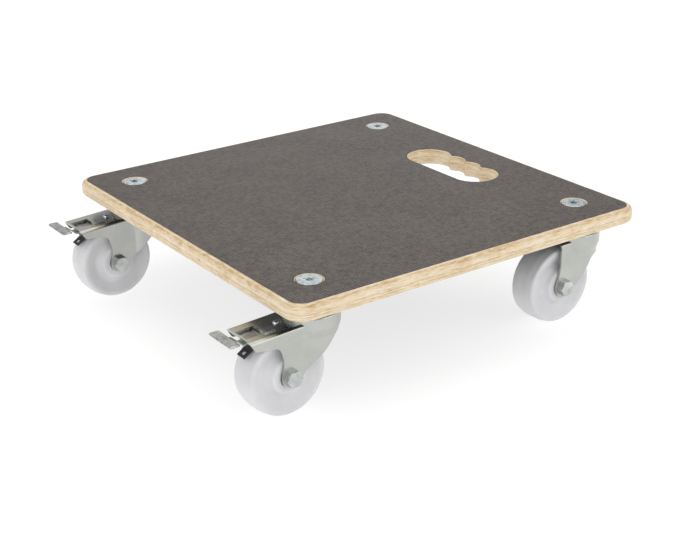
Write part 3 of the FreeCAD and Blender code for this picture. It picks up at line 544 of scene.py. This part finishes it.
polyamide, tree, shader = finish(
    "moulded_polyamide",
    Roughness=0.45,
    IOR=1.53,
    Subsurface_Weight=0.2,
    Subsurface_Scale=4 * MM,
    Subsurface_Radius=(0.8, 0.8, 0.8),
)
place = add(tree, "ShaderNodeTexCoord").outputs["Object"]
cloud = add(tree, "ShaderNodeTexNoise", {"Vector": place, "Scale": 1 / (30 * MM), "Detail": 2.0})
milk = add(tree, "ShaderNodeValToRGB", {"Fac": cloud.outputs["Fac"]})
ramp = milk.color_ramp
ramp.elements[0].position = 0.3
ramp.elements[0].color = linear("#CBCBCE")
ramp.elements[1].position = 0.7
ramp.elements[1].color = linear("#D6D6D7")
tree.links.new(milk.outputs["Color"], shader.inputs["Base Color"])
skin = add(tree, "ShaderNodeTexNoise", {"Vector": place, "Scale": 1 / (1.2 * MM), "Detail": 2.0})
skin_bump = add(
    tree, "ShaderNodeBump", {"Height": skin.outputs["Fac"], "Distance": 0.03 * MM, "Strength": 0.4}
)
tree.links.new(skin_bump.outputs[0], shader.inputs["Normal"])
far_side = [(radius, -along, rounding) for radius, along, rounding in reversed(WHEEL_PROFILE)]
for name in CASTERS:
    wheel = "wheel_" + name
    mesh = turned(WHEEL_PROFILE + far_side, middle(wheel))
    sharpen(mesh, WHEEL_SMOOTH_ANGLE)
    placed(wheel + "_moulding", mesh, polyamide, wheel, "white_polyamide", wheel)

# Roller cages: black polyamide filled with glass fibre, moulded and snapped into the ends of
# the hub. The fibre leaves the satin skin a little gritty.
cage_black, tree, shader = finish("black_filled_polyamide", Roughness=0.45)
place = add(tree, "ShaderNodeTexCoord").outputs["Object"]
grit = add(tree, "ShaderNodeTexNoise", {"Vector": place, "Scale": 1 / (0.8 * MM), "Detail": 2.0})
cage_tone = add(tree, "ShaderNodeValToRGB", {"Fac": grit.outputs["Fac"]})
cage_tone.color_ramp.elements[0].color = linear("#101010")
cage_tone.color_ramp.elements[1].color = linear("#1E1E1F")
tree.links.new(cage_tone.outputs["Color"], shader.inputs["Base Color"])
for name in CASTERS:
    cage = "roller_cage_" + name
    placed(cage + "_moulding", cleaned(cage), cage_black, "wheel_" + name, "black_plastic", cage)

# Brake levers: pressed zinc-plated steel. The wide tread for the foot is rolled over all round
# its edge and has shallow ribs across it, dulled by shoes.
RIB_PITCH = 3.2 * MM
ROLLED_EDGE = 1.4 * MM
LEVER_SMOOTH_ANGLE = 40
pedal_zinc, tree, shader = finish("zinc_pedal_ribbed", Metallic=1.0, Roughness=0.3)
place = add(tree, "ShaderNodeTexCoord").outputs["Object"]
cloud = add(tree, "ShaderNodeTexNoise", {"Vector": place, "Scale": 1 / (5 * MM), "Detail": 4.0})
pedal_tone = add(tree, "ShaderNodeValToRGB", {"Fac": cloud.outputs["Fac"]})
ramp = pedal_tone.color_ramp
ramp.elements[0].position = 0.3
ramp.elements[0].color = linear("#8E908F")
ramp.elements[1].position = 0.7
ramp.elements[1].color = linear("#C2C4C2")
tree.links.new(pedal_tone.outputs["Color"], shader.inputs["Base Color"])
ribs = add(
    tree,
    "ShaderNodeTexWave",
    {"Vector": place, "Scale": WAVE_PERIOD / RIB_PITCH, "Distortion": 0.6},
    bands_direction="X",
)
rib_bump = add(
    tree, "ShaderNodeBump", {"Height": ribs.outputs["Fac"], "Distance": 0.2 * MM, "Strength": 0.6}
)
tree.links.new(rib_bump.outputs[0], shader.inputs["Normal"])
for name in BRAKED:
    lever = "brake_lever_" + name
    mesh = cleaned(lever)
    upward = [face for face in mesh.faces if face.normal.z > 0.9]
    tread = max(upward, key=lambda face: face.calc_area())
    bmesh.ops.bevel(
        mesh, geom=tread.edges[:], offset=ROLLED_EDGE, offset_type="OFFSET", segments=4,
        profile=0.5, affect="EDGES", material=-1, clamp_overlap=True,
    )
    sharpen(mesh, LEVER_SMOOTH_ANGLE)
    even_shading(
        placed(lever + "_pressing", mesh, pedal_zinc, "brake_" + name, "zinc_sheet", lever)
    )

# Brake leaves: spring steel strip, blackened and oiled, bent to a knee. The lever swings the
# knee down towards the wheel.
black_oxide, tree, shader = finish("oiled_black_oxide", Roughness=0.38)
place = add(tree, "ShaderNodeTexCoord").outputs["Object"]
bloom = add(tree, "ShaderNodeTexNoise", {"Vector": place, "Scale": 1 / (1.5 * MM), "Detail": 3.0})
oxide_tone = add(tree, "ShaderNodeValToRGB", {"Fac": bloom.outputs["Fac"]})
oxide_tone.color_ramp.elements[0].color = linear("#0B0A0B")
oxide_tone.color_ramp.elements[1].color = linear("#1A181A")
tree.links.new(oxide_tone.outputs["Color"], shader.inputs["Base Color"])
for name in BRAKED:
    leaf = "brake_leaf_" + name
    placed(leaf + "_strip", cleaned(leaf), black_oxide, "brake_" + name, "black_spring_steel", leaf)

# Spring clips and nose rivets: drawn steel, bright and smooth. The brake pins are ground flush
# with the cheeks and plated with the fork, so they hardly show.
DRAW_LINES_PER_METRE = (1200, 60, 1200)
bright_steel, tree, shader = finish("bright_drawn_steel", Metallic=1.0, Roughness=0.16)
place = add(tree, "ShaderNodeTexCoord").outputs["Object"]
draw_place = add(tree, "ShaderNodeMapping", {"Vector": place, "Scale": DRAW_LINES_PER_METRE})
draw_lines = add(
    tree, "ShaderNodeTexNoise", {"Vector": draw_place.outputs[0], "Scale": 1.0, "Detail": 2.0}
)
bright_tone = add(tree, "ShaderNodeValToRGB", {"Fac": draw_lines.outputs["Fac"]})
bright_tone.color_ramp.elements[0].color = linear("#D3D6D8")
bright_tone.color_ramp.elements[1].color = linear("#F0F1F2")
tree.links.new(bright_tone.outputs["Color"], shader.inputs["Base Color"])
for name in BRAKED:
    for part, ending, metal in (
        ("brake_spring_", "_bright", bright_steel),
        ("nose_rivet_", "_bright", bright_steel),
        ("brake_pin_", "_ground", satin_zinc),
    ):
        placed(
            part + name + ending, cleaned(part + name), metal, "swivel_" + name,
            "bright_spring_steel", part + name,
        )

low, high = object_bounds()
